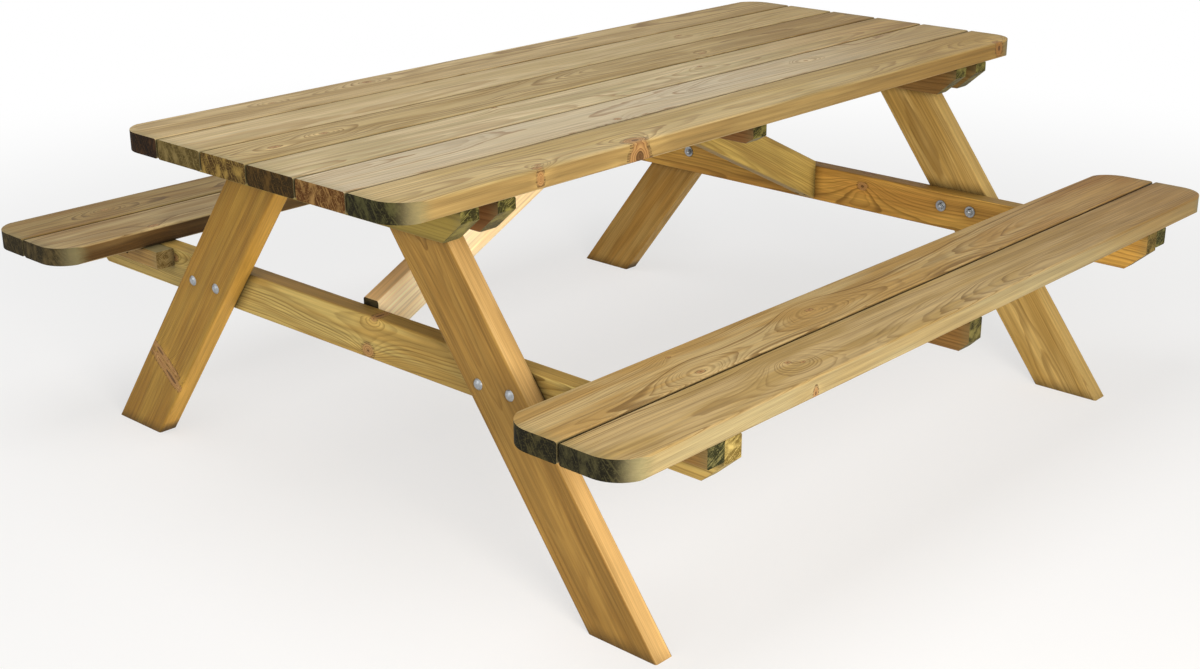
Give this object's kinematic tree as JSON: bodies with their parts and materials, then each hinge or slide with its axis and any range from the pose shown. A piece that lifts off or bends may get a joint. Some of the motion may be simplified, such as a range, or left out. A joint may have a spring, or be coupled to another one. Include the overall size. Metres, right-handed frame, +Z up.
{
  "type": "picnic table",
  "caption": "Wooden A-frame picnic table: slatted top with rounded corners, two fixed bench seats, bolted leaning legs and slanting braces",
  "frame": {"origin": "on the ground under the middle of the tabletop, which is the bottom centre of the bounding box", "axes": "+X along the tabletop, -Y on the front seat's side, +Z up; left is -X and right is +X"},
  "size_m": [1.84, 1.667, 0.7],
  "materials": {
    "tabletop_pine": "planed pressure-treated pine, pale tan with a greenish cast, dry and matte",
    "seat_pine": "planed pressure-treated pine, yellow-brown with strong grain and knots, dry and matte",
    "leg_pine": "planed pressure-treated pine, orange-brown, dry and matte",
    "beam_pine": "planed pressure-treated pine, golden brown with dark greenish end grain, dry and matte",
    "brace_pine": "planed pressure-treated pine, light golden brown, dry and matte",
    "zinc_plated_steel": "bright zinc plating, slightly dulled",
    "screw_steel": "zinc-plated wood screws, slightly yellowish"
  },
  "bodies": {
    "root": {"top_board_1": "tabletop_pine", "top_board_2": "tabletop_pine", "top_board_3": "tabletop_pine", "top_board_4": "tabletop_pine", "top_board_5": "tabletop_pine", "top_board_6": "tabletop_pine", "front_seat_outer_board": "seat_pine", "front_seat_inner_board": "seat_pine", "rear_seat_inner_board": "seat_pine", "rear_seat_outer_board": "seat_pine", "leg_front_left": "leg_pine", "leg_rear_left": "leg_pine", "leg_front_right": "leg_pine", "leg_rear_right": "leg_pine", "top_beam_left_outer": "beam_pine", "top_beam_left_inner": "beam_pine", "top_beam_centre": "beam_pine", "top_beam_right_inner": "beam_pine", "top_beam_right_outer": "beam_pine", "seat_beam_left": "beam_pine", "seat_beam_right": "beam_pine", "seat_block_front_left": "beam_pine", "seat_block_rear_left": "beam_pine", "seat_block_front_right": "beam_pine", "seat_block_rear_right": "beam_pine", "seat_batten_front": "beam_pine", "seat_batten_rear": "beam_pine", "brace_left": "brace_pine", "brace_right": "brace_pine", "seat_beam_bolts": "zinc_plated_steel", "top_beam_bolts": "zinc_plated_steel", "washers": "zinc_plated_steel", "nuts": "zinc_plated_steel", "tabletop_screws": "screw_steel", "seat_screws": "screw_steel", "block_screws": "screw_steel", "brace_screws": "screw_steel"}
  },
  "joints": []
}
